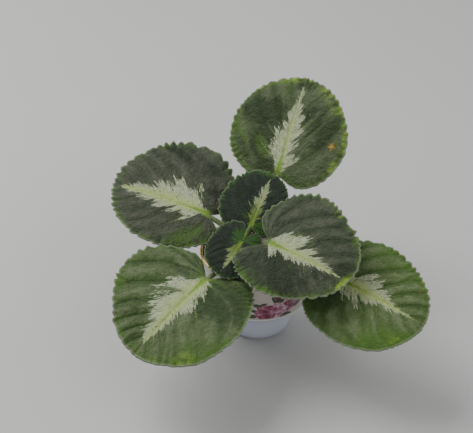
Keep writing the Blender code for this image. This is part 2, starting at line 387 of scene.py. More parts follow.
# Potting mix: peat, bark crumbs and white perlite that fill the cup to a little under the
# rim. It is one loose heap, pressed down by hand, with the coarse bits lying on top.
MIX_TOP = 0.0660
MIX_CROWN = 0.0680
MIX_SHOULDER = 0.0010
MIX_RINGS = 40
MIX_STEPS = 120
CLEARANCE = 0.0004
CRUMBS = 420
CRUMB_SMALL, CRUMB_LARGE = 0.0005, 0.0019
CROWN_AT = Vector((-0.002, -0.002, 0.0))
CROWN_RADIUS = 0.0070
PEAT_DARK, PEAT_BROWN = (0.018, 0.011, 0.007), (0.085, 0.052, 0.030)
FIBRE_BROWN = (0.16, 0.10, 0.055)
BARK_DARK, BARK_PALE = (0.040, 0.022, 0.012), (0.14, 0.080, 0.045)
PERLITE_GREY, PERLITE_WHITE = (0.42, 0.40, 0.36), (0.66, 0.65, 0.61)
mix_edge = wall_radius(MIX_TOP) - WALL - CLEARANCE


def mix_finish():
    finish, tree, shader, here = new_finish("peat_mix")
    x, y, _ = split(tree, here)
    peat = grain(tree, here, 420.0, 6.0, 0.65)
    fibre = grain(tree, vector(tree, x, y, 0.0), 900.0, 3.0)
    colour = blend(tree, ramp(tree, peat, 0.32, 0.68), PEAT_DARK, PEAT_BROWN)
    colour = blend(tree, ramp(tree, fibre, 0.62, 0.72), colour, FIBRE_BROWN)
    lay_on(tree, shader, colour, 0.95, bump(tree, peat, 0.0008))
    return finish


def crumb_finish(name, dark, light, scale):
    finish, tree, shader, here = new_finish(name)
    spots = grain(tree, here, scale, 4.0)
    colour = blend(tree, ramp(tree, spots, 0.35, 0.65), dark, light)
    lay_on(tree, shader, colour, 0.9, bump(tree, spots, 0.0003))
    return finish


def mix_height(x, y):
    """The heap's top, with its lumps."""
    share = min(math.hypot(x, y) / mix_edge, 1.0)
    heap = MIX_TOP + (MIX_CROWN - MIX_TOP) * (1 - share**2)
    lumps = noise.noise(Vector((x, y, 0.3)) * 240) * 0.0007 + noise.noise(Vector((x, y, 0.7)) * 700) * 0.0003
    return heap - CLEARANCE + lumps


mix_rings = [(mix_edge * i / MIX_RINGS, MIX_TOP) for i in range(MIX_RINGS + 1)]
mix_sides = [
    (max(radius - CLEARANCE, 0.0), height + CLEARANCE)
    for radius, height in cup_inside if height < MIX_TOP - MIX_SHOULDER
]
mix_body = spun(mix_rings + mix_sides, MIX_STEPS)
for vert in mix_body.verts:
    if abs(vert.co.z - MIX_TOP) < 1e-5:
        vert.co.z = mix_height(vert.co.x, vert.co.y)
mix = add_piece("potting_mix_heap", mix_body, [mix_finish()])
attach(mix, "root")
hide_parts("potting_mix")

random.seed(11)
crumb_body = bmesh.new()
for number in range(CRUMBS):
    turn = random.uniform(0, math.tau)
    out = math.sqrt(random.uniform(0.04, 0.93)) * mix_edge
    x, y = out * math.cos(turn), out * math.sin(turn)
    size = random.uniform(CRUMB_SMALL, CRUMB_LARGE)
    if (Vector((x, y, 0.0)) - CROWN_AT).length < CROWN_RADIUS + size or out + size > mix_edge:
        continue
    made = bmesh.ops.create_icosphere(crumb_body, subdivisions=1, radius=size)["verts"]
    for vert in made:
        vert.co *= 1 + 0.35 * noise.noise(vert.co * 900 + Vector((number, 0, 0)))
    flat = Matrix.Diagonal((1.0, random.uniform(0.5, 0.9), random.uniform(0.4, 0.8), 1.0))
    turned = Matrix.Rotation(random.uniform(0, math.tau), 4, "Z")
    lifted = Matrix.Translation((x, y, mix_height(x, y) + size * 0.2))
    bmesh.ops.transform(crumb_body, matrix=lifted @ turned @ flat, verts=made)
    for face in {face for vert in made for face in vert.link_faces}:
        face.material_index = int(number % 4 == 0)
crumbs = add_piece("potting_mix_crumbs", crumb_body, [
    crumb_finish("bark_crumb", BARK_DARK, BARK_PALE, 1500.0),
    crumb_finish("perlite_crumb", PERLITE_GREY, PERLITE_WHITE, 2200.0),
])
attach(crumbs, "root")
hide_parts("potting_mix")

# Crown: the short woody stem of the rosette, ringed by the scars of older leaves, with a
# furry bud on top. It grew in one piece and stands on the mix.
CROWN_TOP = 0.0880
CROWN_SHAPE = ((0.0, 0.0), (0.9, 0.0), (1.0, 0.1), (0.98, 0.5), (0.9, 0.74), (0.6, 0.93), (0.0, 1.0))
CROWN_BOTTOM = MIX_CROWN + CLEARANCE
CROWN_CUTS = 8
CROWN_STEPS = 64
BUD_FROM, BUD_TO = 0.078, 0.086
SCAR_DEPTH = 0.00022
SCAR_PITCH = 2600
SCAR_TWIST = 2.5
CROWN_LUMP = 0.0005
OLD_BARK, OLD_BARK_PALE = (0.045, 0.030, 0.012), (0.13, 0.095, 0.035)
BUD_GREEN, BUD_PALE = (0.10, 0.14, 0.030), (0.22, 0.27, 0.08)


def crown_profile(cuts):
    """(radius, height) points of the crown's side, evenly cut between its few main ones."""
    points = []
    for low, high in zip(CROWN_SHAPE, CROWN_SHAPE[1:]):
        for i in range(cuts):
            share = i / cuts
            radius = low[0] + (high[0] - low[0]) * share
            height = low[1] + (high[1] - low[1]) * share
            points.append((CROWN_RADIUS * radius, CROWN_BOTTOM + (CROWN_TOP - CROWN_BOTTOM) * height))
    return points + [(0.0, CROWN_TOP)]


def crown_finish():
    finish, tree, shader, here = new_finish("crown_skin", Sheen_Weight=0.25, Sheen_Roughness=0.5)
    patchy = grain(tree, here, 320.0, 4.0)
    old_skin = blend(tree, ramp(tree, patchy, 0.35, 0.65), OLD_BARK, OLD_BARK_PALE)
    young_skin = blend(tree, ramp(tree, patchy, 0.35, 0.65), BUD_GREEN, BUD_PALE)
    colour = blend(tree, ramp(tree, split(tree, here)[2], BUD_FROM, BUD_TO), old_skin, young_skin)
    lay_on(tree, shader, colour, 0.85, bump(tree, patchy, 0.0004))
    return finish


crown_body = spun(crown_profile(CROWN_CUTS), CROWN_STEPS)
for vert in crown_body.verts:
    height = vert.co.z - CROWN_BOTTOM
    scars = SCAR_DEPTH * math.sin(height * SCAR_PITCH + SCAR_TWIST * math.atan2(vert.co.y, vert.co.x))
    lumps = CROWN_LUMP * noise.noise(vert.co * 450)
    outward = Vector((vert.co.x, vert.co.y, 0.0))
    if outward.length > 0.001 and height > 0.0002:
        vert.co += outward.normalized() * (scars + lumps - CROWN_LUMP)
bmesh.ops.translate(crown_body, verts=crown_body.verts, vec=CROWN_AT)
crown = add_piece("crown_stem_grown", crown_body, [crown_finish()])
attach(crown, "root")
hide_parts("crown_stem")

# Leaves: round, heart-based blades, puckered between sunken veins, with a scalloped edge and
# a feathered silver flame along the midrib. Each grew in one piece with its fleshy stalk,
# which runs on under the blade as a keel, and fine white hairs cover both.
UPPER, UNDER, EDGE, STALK = range(4)
BLADE_THICKNESS = 0.0014
BLADE_STEPS, BLADE_RINGS = 400, 60
YOUNG_STEPS, YOUNG_RINGS = 260, 40
YOUNG_SHARE = 0.8
STALK_RADIUS = 0.0023
STALK_INSET = 0.0060
STALK_POINTS = 30
KEEL_POINTS = 14
KEEL_REACH = 0.80
KEEL_SINK = 0.007
ROOT_SWELL = 1.1
BULGE_SPREAD = 26.0
VEIN_STEP = 0.165
VEIN_SPREAD = 1.4
VEIN_BEND = 1.2
VEIN_STAGGER = 0.35
LOBE_SPREAD = 0.36
MIDRIB_DEPTH = 0.009
MIDRIB_SPREAD = 0.014

# base to root are the leaf's own frame, as it grew: where its stalk meets the blade, how the
# blade lies, its outline and the stalk's start on the crown (degrees, metres, and shares of
# length). seed picks its grain, and teeth and tooth are the count and depth of its scallops.
# tone runs from a grey leaf to a green one, quilt is how far the blade puffs up between its veins, ribs how
# deep its vein grooves are and how dark their painted shade is on its left and right half, and streaky how
# far the patches follow them. flame_left and flame_right are the silver mark's half widths, tenth by tenth
# from the base to the tip, and cream is how creamy it is beside the midrib. yellow are patches of paler
# green, lively of fresher green that is partly painted light where more light falls, and deep of painted
# shade, darker green where the leaf lies in shade; stains are brown: across, along, spread, and amount or
# colour.
LEAVES = {
    "leaf_back": dict(
        base=(0.0156, 0.044, 0.1167), heading=68, rise=46, roll=3, length=0.0905, width=1.12,
        back=0.61, centre=0.46, notch=18, skew=-0.02, lean=-0.03, droop=0.10, cup=0.0,
        bulges=((-150, -0.06), (-105, 0.03), (60, -0.03), (105, 0.02)), root=(74, 0.081, 30),
        seed=1.0, streaky=1.0, tone=0.5, teeth=48, tooth=0.016, quilt=0.04, ribs=(0.45, 0.25), cream=0.35,
        flame_left=(0.02, 0.05, 0.10, 0.15, 0.11, 0.08, 0.06, 0.03, 0.02, 0.005),
        flame_right=(0.02, 0.05, 0.13, 0.13, 0.13, 0.09, 0.085, 0.045, 0.03, 0.01),
        yellow=((-0.1, 1.0, 0.07, 0.7), (0.06, 1.01, 0.05, 0.7), (0.27, 0.93, 0.12, 0.6),
                (0.44, 0.78, 0.12, 0.6), (0.56, 0.58, 0.09, 0.6), (0.58, 0.40, 0.10, 0.7),
                (0.5, 0.17, 0.06, 0.8), (-0.40, 0.86, 0.07, 0.5), (-0.25, 0.96, 0.07, 0.4)),
        fresh_and_lit=((-0.26, 0.16, 0.13, 0.5), (-0.42, 0.40, 0.2, 0.9), (-0.2, 0.90, 0.14, 0.4),
                (0.45, 0.85, 0.2, 0.5), (0.2, 0.8, 0.1, 0.5), (0.05, -0.02, 0.08, 0.5)),
        painted_shade=((-0.19, 0.30, 0.15, 1.6), (-0.30, 0.62, 0.16, 0.8), (-0.12, 0.13, 0.08, 1.2),
              (-0.17, 0.60, 0.13, 0.9), (0.18, 0.62, 0.13, 0.8), (0.0, 0.96, 0.11, 1.0),
              (0.3, 0.45, 0.18, 0.9), (-0.48, 0.62, 0.10, 0.6), (0.45, 0.66, 0.13, 0.9)),
        stains=((0.43, 0.36, 0.030, (0.46, 0.25, 0.03)),),
    ),
    "leaf_upper_left": dict(
        base=(-0.040, 0.0229, 0.0927), heading=162, rise=14, roll=17, length=0.086, width=1.29,
        back=0.57, centre=0.38, notch=12, skew=0.17, lean=0.03, droop=0.10, cup=0.04,
        bulges=((-150, 0.05), (60, -0.03), (105, 0.05), (150, -0.03)), root=(150, 0.079, 15),
        seed=2.0, streaky=0.4, tone=0.0, teeth=44, tooth=0.032, quilt=0.045, ribs=(0.45, 0.40), cream=0.8,
        flame_left=(0.01, 0.05, 0.12, 0.13, 0.10, 0.11, 0.07, 0.055, 0.06, 0.02),
        flame_right=(0.02, 0.08, 0.20, 0.18, 0.19, 0.19, 0.13, 0.09, 0.05, 0.015),
        yellow=((-0.06, 1.0, 0.03, 0.8),),
        fresh_and_lit=((-0.25, 0.0, 0.14, 0.5), (-0.42, 0.15, 0.14, 0.5)),
        painted_shade=((0.66, 0.5, 0.18, 1.1), (0.58, 0.8, 0.14, 0.8), (0.25, 0.04, 0.12, 0.8),
              (0.6, 0.15, 0.18, 1.0), (-0.42, 0.40, 0.08, 0.4), (-0.15, 0.9, 0.1, 0.4)),
    ),
    "leaf_lower_left": dict(
        base=(-0.0395, -0.046, 0.079), heading=238, rise=-1, roll=8, length=0.094, width=1.17,
        back=0.72, centre=0.42, notch=16, skew=0.03, lean=-0.09, droop=0.10, cup=0.12,
        bulges=((-150, 0.03), (60, -0.02), (150, -0.08)), root=(226, 0.0765, 12),
        seed=3.0, streaky=0.3, tone=0.80, teeth=44, tooth=0.020, quilt=0.09, ribs=(0.35, 0.90), cream=0.7,
        flame_left=(0.0, 0.07, 0.12, 0.12, 0.12, 0.07, 0.045, 0.04, 0.02, 0.0),
        flame_right=(0.0, 0.08, 0.20, 0.15, 0.20, 0.17, 0.12, 0.08, 0.06, 0.0),
        yellow=((-0.36, 0.86, 0.09, 0.5), (-0.15, 0.98, 0.06, 0.3)),
        fresh_and_lit=((-0.35, 0.83, 0.16, 1.0), (-0.52, 0.6, 0.10, 0.4), (0.5, 0.5, 0.10, 0.4),
                (0.0, 0.0, 0.12, 1.0), (-0.26, 0.02, 0.14, 0.4)),
        painted_shade=((-0.16, 0.30, 0.13, 1.1), (-0.12, 0.10, 0.09, 0.7), (0.22, 0.68, 0.11, 0.6),
              (0.1, 0.88, 0.09, 0.8), (-0.1, 0.7, 0.09, 0.4), (-0.30, 0.28, 0.24, 1.6),
              (-0.42, -0.02, 0.20, 1.1), (0.2, 0.08, 0.08, 0.7), (0.52, 0.75, 0.12, 0.4)),
    ),
    "leaf_front": dict(
        base=(0.007, -0.031, 0.1015), heading=-41, rise=1, roll=-24, length=0.074, width=1.26,
        back=0.71, centre=0.31, notch=18, skew=-0.13, lean=0.0, droop=0.10, cup=0.10,
        bulges=((-150, -0.05), (-105, 0.04), (-60, -0.08), (20, -0.04), (60, -0.03)),
        root=(-55, 0.083, 50),
        seed=4.0, streaky=0.2, tone=0.08, teeth=48, tooth=0.034, quilt=0.055, ribs=(0.65, 0.35), cream=0.6,
        flame_left=(0.015, 0.11, 0.18, 0.175, 0.165, 0.12, 0.095, 0.06, 0.03, 0.0),
        flame_right=(0.03, 0.10, 0.08, 0.10, 0.08, 0.05, 0.04, 0.025, 0.01, 0.0),
        yellow=((0.0, 0.99, 0.052, 2.0), (0.09, 0.96, 0.045, 1.7), (-0.62, 0.5, 0.05, 0.5)),
        fresh_and_lit=((0.14, 0.40, 0.04, 0.6), (-0.48, 0.85, 0.10, 0.4), (0.5, 0.0, 0.18, 0.4),
                (0.54, 0.35, 0.09, 0.5), (0.0, 0.06, 0.06, 1.0)),
        painted_shade=((-0.12, 0.85, 0.14, 0.8), (0.12, 0.72, 0.12, 0.8), (0.18, 0.27, 0.11, 1.0),
              (-0.42, 0.48, 0.09, 0.5), (-0.1, 0.08, 0.05, 0.6), (0.36, 0.42, 0.24, 1.5),
              (0.30, 0.04, 0.22, 1.3), (-0.22, 0.0, 0.12, 0.7)),
    ),
    "leaf_lower_right": dict(
        base=(0.060, -0.050, 0.0805), heading=-43, rise=1, roll=-23, length=0.0775, width=1.15,
        back=0.74, centre=0.39, notch=18, skew=0.03, lean=0.04, droop=0.10, cup=0.0,
        bulges=((-150, 0.02), (-60, -0.02), (20, -0.02)), root=(-38, 0.0765, 14),
        seed=5.0, streaky=0.0, tone=1.0, teeth=44, tooth=0.020, quilt=0.08, ribs=(0.85, 0.45), cream=0.8,
        flame_left=(0.05, 0.12, 0.15, 0.14, 0.12, 0.09, 0.055, 0.02, 0.01, 0.0),
        flame_right=(0.04, 0.08, 0.14, 0.12, 0.13, 0.07, 0.05, 0.04, 0.015, 0.0),
        yellow=((-0.42, 0.8, 0.10, 0.5), (0.3, 0.88, 0.08, 0.4), (-0.54, 0.6, 0.08, 0.5)),
        fresh_and_lit=((0.42, 0.70, 0.17, 1.2), (0.30, 0.90, 0.12, 1.0), (-0.42, 0.6, 0.25, 0.5),
                (-0.25, 0.15, 0.10, 0.7), (0.35, 0.0, 0.16, 0.4), (-0.5, 0.3, 0.2, 0.5),
                (0.15, 0.2, 0.06, 0.9)),
        painted_shade=((0.24, 0.14, 0.11, 1.1), (0.30, -0.10, 0.19, 1.9), (0.1, 0.02, 0.09, 0.8),
              (-0.3, -0.1, 0.2, 0.8)),
        stains=((-0.28, 0.78, 0.016, (0.16, 0.06, 0.015)),),
    ),
    "young_leaf_upper": dict(
        base=(-0.0065, 0.004, 0.0935), heading=64, rise=34, roll=-8, length=0.051, width=1.07,
        back=0.60, centre=0.40, notch=14, skew=-0.18, lean=0.0, droop=0.05, cup=0.0,
        bulges=((-105, 0.035), (60, -0.02)), root=(200, 0.082, 60),
        seed=6.0, streaky=0.9, tone=0.0, teeth=36, tooth=0.036, quilt=0.05, ribs=(0.35, 0.35), cream=0.4,
        flame_left=(0.03, 0.06, 0.09, 0.11, 0.13, 0.08, 0.06, 0.06, 0.02, 0.0),
        flame_right=(0.03, 0.045, 0.06, 0.06, 0.08, 0.06, 0.05, 0.05, 0.01, 0.0),
        yellow=((0.0, 0.05, 0.05, 0.6),),
        fresh_and_lit=((0.22, 0.0, 0.15, 2.6), (-0.15, 0.12, 0.09, 0.8), (-0.1, 1.0, 0.14, 0.5),
                (-0.6, 0.6, 0.08, 0.8), (-0.45, 0.9, 0.1, 0.6)),
        painted_shade=((-0.2, 0.55, 0.15, 0.6), (0.1, 0.85, 0.15, 0.8), (0.15, 0.4, 0.10, 0.5)),
    ),
    "young_leaf_lower": dict(
        base=(-0.014, -0.020, 0.0945), heading=240, rise=-15, roll=20, length=0.0366, width=1.05,
        back=0.72, centre=0.23, notch=8, skew=0.16, lean=-0.02, droop=0.08, cup=0.0,
        bulges=((-150, 0.045), (20, -0.07), (150, 0.03)), root=(240, 0.082, 45),
        seed=7.0, streaky=0.9, tone=0.0, teeth=38, tooth=0.046, quilt=0.06, ribs=(0.4, 0.5), cream=1.0,
        flame_left=(0.02, 0.06, 0.10, 0.10, 0.09, 0.06, 0.04, 0.02, 0.0, 0.0),
        flame_right=(0.02, 0.05, 0.11, 0.15, 0.13, 0.07, 0.05, 0.03, 0.01, 0.0),
        yellow=((0.05, 0.2, 0.06, 0.7),),
        fresh_and_lit=((0.12, -0.12, 0.15, 2.4), (-0.15, -0.25, 0.2, 2.4), (0.15, 0.35, 0.08, 0.6)),
        painted_shade=((0.35, 0.3, 0.18, 0.7), (0.32, -0.1, 0.15, 0.5)),
    ),
}


def blade_axes(leaf):
    """The midrib's direction, the direction to its right, and the upper face's normal."""
    heading, rise, roll = (math.radians(leaf[key]) for key in ("heading", "rise", "roll"))
    flat = Vector((math.cos(heading), math.sin(heading), 0.0))
    midrib = flat * math.cos(rise) + Vector((0, 0, math.sin(rise)))
    right = Matrix.Rotation(-roll, 3, midrib) @ flat.cross(Vector((0, 0, 1)))
    return midrib, right, right.cross(midrib)


def outline_radius(leaf, angle):
    """Distance from the blade's centre to its edge, as a share of its length; 0 is the tip."""
    front, back, half = 1 - leaf["centre"], leaf["back"], leaf["width"] / 2
    even = (front + back) / 2
    radius = (
        (even + half) / 2 + (front - back) / 2 * math.cos(angle)
        + (even - half) / 2 * math.cos(2 * angle)
    )
    from_base = 180 - abs(math.degrees(angle))
    radius -= (back - leaf["centre"]) * math.exp(-((from_base / leaf["notch"]) ** 2))
    uneven = leaf["skew"] * math.sin(angle) + leaf["lean"] * math.sin(2 * angle)
    for place, amount in leaf["bulges"]:
        away = (math.degrees(angle) - place + 180) % 360 - 180
        uneven += amount * math.exp(-((away / BULGE_SPREAD) ** 2))
    return radius * (1 + uneven)


def scallop(leaf, angle):
    """How far the edge stands out at this angle, from -0.5 in a notch to 0.5 on a tooth."""
    round_edge = Vector((math.cos(angle), math.sin(angle), leaf["seed"]))
    place = abs(angle) / math.tau * leaf["teeth"] + 1.3 * noise.noise(round_edge * 2.5)
    phase = place % 1.0
    tooth = (phase / 0.4) ** 0.8 if phase < 0.4 else 1 - ((phase - 0.4) / 0.6) ** 1.5
    depth = 0.8 + 1.1 * noise.noise(round_edge * 4.0)
    from_base = 180 - abs(math.degrees(angle))
    fine = 0.35 * noise.noise(round_edge * 23.0)
    return ((tooth - 0.5) * depth + fine) * (1 - math.exp(-((from_base / 22) ** 2)))


def vein_number(leaf, across, along, share):
    """Which side vein is nearest: a number that is whole on a vein, and grows towards the tip."""
    side = abs(across)
    start = (along - VEIN_BEND * side**2) / (1 + VEIN_SPREAD * side)
    start -= 0.05 * share**6
    spot = Vector((across, along, leaf["seed"])) * 2.4
    return start / (VEIN_STEP if start > 0 else max(LOBE_SPREAD * side, 0.02)) + 0.55 * noise.noise(spot)


def relief(leaf, across, along, share, angle):
    """The blade's own ups and downs: pillows between the veins, a sunken midrib, a wavy edge."""
    number = vein_number(leaf, across, along, share) + VEIN_STAGGER * (across > 0)
    off_vein = 2 * abs(number - round(number))
    pillow = math.sin(off_vein * math.pi / 2) ** 0.8 - 0.6
    inner = min(abs(across) / 0.09, 1.0) * min(math.hypot(across, along) / 0.2, 1.0)
    edge = share**8
    spot = Vector((across, along, leaf["seed"]))
    uneven = 0.75 + 0.9 * noise.noise(spot * 3.1)
    lift = leaf["quilt"] * 0.16 * pillow * inner * uneven * (1 - 0.4 * edge)
    lift *= 0.5 + 0.7 * leaf["ribs"][across > 0]
    lift -= MIDRIB_DEPTH * math.exp(-((across / MIDRIB_SPREAD) ** 2)) * (1 - share**4)
    near = noise.voronoi(spot * 15 + noise.noise_vector(spot * 6) * 0.5)[0]
    lift += 0.0055 * min((near[1] - near[0]) * 2.2, 1.0) * inner
    lift += 0.006 * noise.noise(spot * 7) + 0.003 * noise.noise(spot * 30) * (1 - edge)
    wave = math.sin(5 * angle + leaf["seed"]) + 0.8 * math.sin(9 * angle + 2 * leaf["seed"])
    lift += 0.007 * edge * wave + 0.016 * edge * scallop(leaf, angle)
    return lift + 0.008 - 0.020 * share**10


def blade_place(leaf, across, along, lift=0.0):
    """A point of the flat blade on the leaf's own cupped and drooping one."""
    lift += leaf["cup"] * across**2 - leaf["droop"] * along**2
    midrib, right, normal = blade_axes(leaf)
    place = midrib * along + right * across + normal * lift
    return Vector(leaf["base"]) + place * leaf["length"]


def patches(leaf, kind, across, along):
    """How much of this kind of green the leaf's patches bring here."""
    return sum(
        amount * math.exp(-((across - x) ** 2 + (along - y) ** 2) / spread**2)
        for x, y, spread, amount in leaf[kind]
    )


def flame_width(leaf, across, along):
    """The silver mark's half width on this side of the midrib."""
    widths = leaf["flame_right"] if across > 0 else leaf["flame_left"]
    tenth = min(max(along * 10, 0.0), 8.999)
    low = int(tenth)
    width = widths[low] + (widths[low + 1] - widths[low]) * (tenth - low)
    return width - 0.3 * max(-along, 0.0) - 0.8 * max(along - 0.9, 0.0)


def blade_body(leaf, steps, rings, thickness):
    """The blade: a spun coin, laid onto the leaf's own shape and thinned towards its edge."""
    shares = [1 - (1 - i / rings) ** 1.2 for i in range(rings + 1)]
    bm = spun([(share, 1.0) for share in shares] + [(share, -1.0) for share in reversed(shares)], steps)
    # The points carry the patches too: deep is painted shade and lively partly painted light.
    layers = [bm.verts.layers.float.new(kind) for kind in (
        "edge", "vein", "silver", "yellow", "fresh_and_lit", "painted_shade")]
    grown = {}
    side = {}
    for vert in bm.verts:
        spot = (round(vert.co.x, 6), round(vert.co.y, 6))
        share = math.hypot(*spot)
        if spot not in grown:
            angle = math.atan2(*spot)
            radius = outline_radius(leaf, angle) * share
            radius += leaf["tooth"] * scallop(leaf, angle) * share**9
            across = radius * math.sin(angle)
            along = leaf["centre"] + radius * math.cos(angle)
            grown[spot] = (
                across, along, relief(leaf, across, along, share, angle),
                [share, vein_number(leaf, across, along, share), flame_width(leaf, across, along)]
                + [patches(leaf, kind, across, along) for kind in ("yellow", "fresh_and_lit", "painted_shade")],
            )
        across, along, lift, values = grown[spot]
        for layer, value in zip(layers, values):
            vert[layer] = value
        side[vert] = (vert.co.z > 0, across, along)
        half = thickness / leaf["length"] * (0.5 - 0.2 * share**16)
        vert.co = blade_place(leaf, across, along, lift + math.copysign(half, vert.co.z))
    flat_map = bm.loops.layers.uv.new("flat")
    for face in bm.faces:
        uppers = sum(side[vert][0] for vert in face.verts)
        face.material_index = UPPER if uppers == len(face.verts) else EDGE if uppers else UNDER
        for loop in face.loops:
            loop[flat_map].uv = side[loop.vert][1:]
    bmesh.ops.recalc_face_normals(bm, faces=bm.faces)
    return bm


def crown_radius(height):
    """The crown's radius at a height on its side."""
    profile = crown_profile(1)[1:]
    for (low_radius, low), (high_radius, high) in zip(profile, profile[1:]):
        if low <= height <= high:
            return low_radius + (high_radius - low_radius) * (height - low) / (high - low)
    return 0.0


def stalk_route(leaf, radius):
    """(place, width share) points: out of the crown, into the blade, then on as its keel."""
    direction, height, climb = leaf["root"]
    direction, climb = math.radians(direction), math.radians(climb)
    outward = Vector((math.cos(direction), math.sin(direction), 0.0))
    end_radius = radius * ROOT_SWELL
    nearest = crown_radius(height + end_radius * math.cos(climb))
    from_axis = nearest + CLEARANCE + end_radius * math.sin(climb)
    start = CROWN_AT + outward * from_axis + Vector((0, 0, height))
    leaving = outward * math.cos(climb) + Vector((0, 0, math.sin(climb)))
    midrib, _, normal = blade_axes(leaf)
    end = Vector(leaf["base"]) + midrib * STALK_INSET - normal * radius * 0.7
    reach = (end - start).length * 0.38
    corners = (start, start + leaving * reach, end - midrib * reach, end)
    route = []
    for i in range(STALK_POINTS):
        t = i / (STALK_POINTS - 1)
        weights = ((1 - t) ** 3, 3 * t * (1 - t) ** 2, 3 * t**2 * (1 - t), t**3)
        place = sum((corner * w for corner, w in zip(corners, weights)), Vector())
        route.append((place, ROOT_SWELL - 0.3 * t + 0.03 * math.sin(11 * t)))
    first = STALK_INSET / leaf["length"]
    for i in range(1, KEEL_POINTS + 1):
        along = first + (KEEL_REACH - first) * i / KEEL_POINTS
        width = 0.8 * (1 - i / KEEL_POINTS) ** 0.9 + 0.10
        under = blade_place(leaf, 0.0, along, -KEEL_SINK) - normal * (radius * width * 0.7)
        route.append((under, width))
    return route


def stalk_mesh(name, route, radius):
    """A closed round tube along the route."""
    curve = bpy.data.curves.new(name, "CURVE")
    curve.dimensions = "3D"
    curve.bevel_depth = radius
    curve.bevel_resolution = 5
    curve.use_fill_caps = True
    spline = curve.splines.new("POLY")
    spline.points.add(len(route) - 1)
    for point, (place, width) in zip(spline.points, route):
        point.co = (*place, 1.0)
        point.radius = width
    guide = bpy.data.objects.new(name, curve)
    mesh = bpy.data.meshes.new_from_object(guide)
    bpy.data.objects.remove(guide)
    bm = bmesh.new()
    bm.from_mesh(mesh)
    bmesh.ops.remove_doubles(bm, verts=bm.verts, dist=1e-5)
    bmesh.ops.recalc_face_normals(bm, faces=bm.faces)
    for face in bm.faces:
        face.material_index = STALK
        face.smooth = True
    bm.to_mesh(mesh)
    bm.free()
    return mesh


# Each green as it is on a grey leaf, on a green one and on a young one.
LEAF_GREENS = {
    # groove is painted shade in the vein grooves, also used for dark specks.
    "groove_shade_and_speck": ((0.009, 0.021, 0.005), (0.015, 0.046, 0.003), (0.004, 0.010, 0.004)),
    "flat": ((0.024, 0.036, 0.016), (0.042, 0.088, 0.011), (0.005, 0.013, 0.0045)),
    # haze is painted sheen on the pillow tops.
    "painted_sheen_grey": ((0.074, 0.080, 0.053), (0.135, 0.172, 0.080), (0.018, 0.029, 0.016)),
    # deep is painted shade.
    "painted_shade": ((0.008, 0.015, 0.004), (0.013, 0.038, 0.003), (0.005, 0.011, 0.005)),
    # lively is fresher green, partly painted light.
    "fresh_and_lit": ((0.055, 0.125, 0.012), (0.055, 0.125, 0.012), (0.028, 0.105, 0.006)),
}
YELLOW_GREEN = (0.22, 0.34, 0.035)
STREAK_GREEN = (0.15, 0.24, 0.045)
BASE_GREEN = (0.17, 0.29, 0.03)
SILVER, SILVER_SHADE = (0.43, 0.46, 0.315), (0.22, 0.28, 0.13)
CREAM = (0.38, 0.47, 0.13)
YOUNG_FLAME = (0.12, 0.19, 0.020)
HAIR_PALE = (0.25, 0.29, 0.18)
UNDER_DARK, UNDER_GREEN = (0.085, 0.125, 0.050), (0.135, 0.175, 0.080)
UNDER_VEIN, UNDER_WEB = (0.20, 0.27, 0.11), (0.20, 0.26, 0.12)
RIM_DARK, RIM_PALE = (0.05, 0.08, 0.025), (0.15, 0.18, 0.10)
ROOT_DARK, ROOT_PALE = (0.050, 0.034, 0.012), (0.13, 0.10, 0.035)
STALK_GREENS = (0.075, 0.12, 0.022), (0.14, 0.19, 0.050)
YOUNG_STALK_GREENS = (0.070, 0.15, 0.012), (0.13, 0.23, 0.026)
HAIR_GREY, HAIR_WHITE = (0.22, 0.25, 0.16), (0.42, 0.44, 0.35)


def between(first, second, share):
    return tuple(a + (b - a) * share for a, b in zip(first, second))


def grown_value(tree, name):
    """One of the values that the blade's points carry."""
    node = tree.nodes.new("ShaderNodeAttribute")
    node.attribute_name = name
    return node.outputs["Fac"]


def flat_place(tree):
    """Across and along: where a point lies on the flat blade, as shares of its length."""
    flat = tree.nodes.new("ShaderNodeUVMap")
    flat.uv_map = "flat"
    across, along, _ = split(tree, flat.outputs[0])
    return across, along


def on_right(tree, across, amount):
    """The amount on the right half of the blade, and 0 on the left."""
    return times(tree, maths(tree, "GREATER_THAN", across, 0.0), amount)


def swing(tree, value, amount):
    """Grain about 0: half the amount either way."""
    return times(tree, minus(tree, value, 0.5), amount)


def vein_distance(tree, across):
    """0 on a side vein and 1 midway between two."""
    number = plus(tree, grown_value(tree, "vein"), on_right(tree, across, VEIN_STAGGER))
    off = maths(tree, "ABSOLUTE", minus(tree, number, maths(tree, "ROUND", number)))
    return times(tree, off, 2.0)


def blade_fields(tree, leaf):
    """What a blade's colours follow: the place on it, its veins, and grain of several sizes."""
    across, along = flat_place(tree)
    seed = leaf["seed"]
    side = maths(tree, "ABSOLUTE", across)
    spot = vector(tree, across, along, seed)
    row = plus(tree, times(tree, grown_value(tree, "vein"), 0.15), on_right(tree, across, 3.0))
    veil = vector(tree, row, times(tree, side, 0.75 - 0.5 * leaf["streaky"]), seed)
    stripe = vector(tree, row, times(tree, side, 0.2), seed + 30.0)
    return SimpleNamespace(
        across=across, along=along, side=side, seed=seed, edge=grown_value(tree, "edge"),
        off_vein=vein_distance(tree, across),
        ribs=ramp(tree, across, -0.03, 0.03, *leaf["ribs"]),
        cloud=grain(tree, spot, 4.0, 3.0),
        blotch=grain(tree, spot, 13.0, 5.0, 0.62),
        frost=grain(tree, spot, 42.0, 4.0, 0.7),
        speckle=grain(tree, spot, 130.0, 3.0, 0.7),
        veil=grain(tree, veil, 12.0, 4.0, 0.6),
        stripe=grain(tree, stripe, 9.0, 3.0),
    )


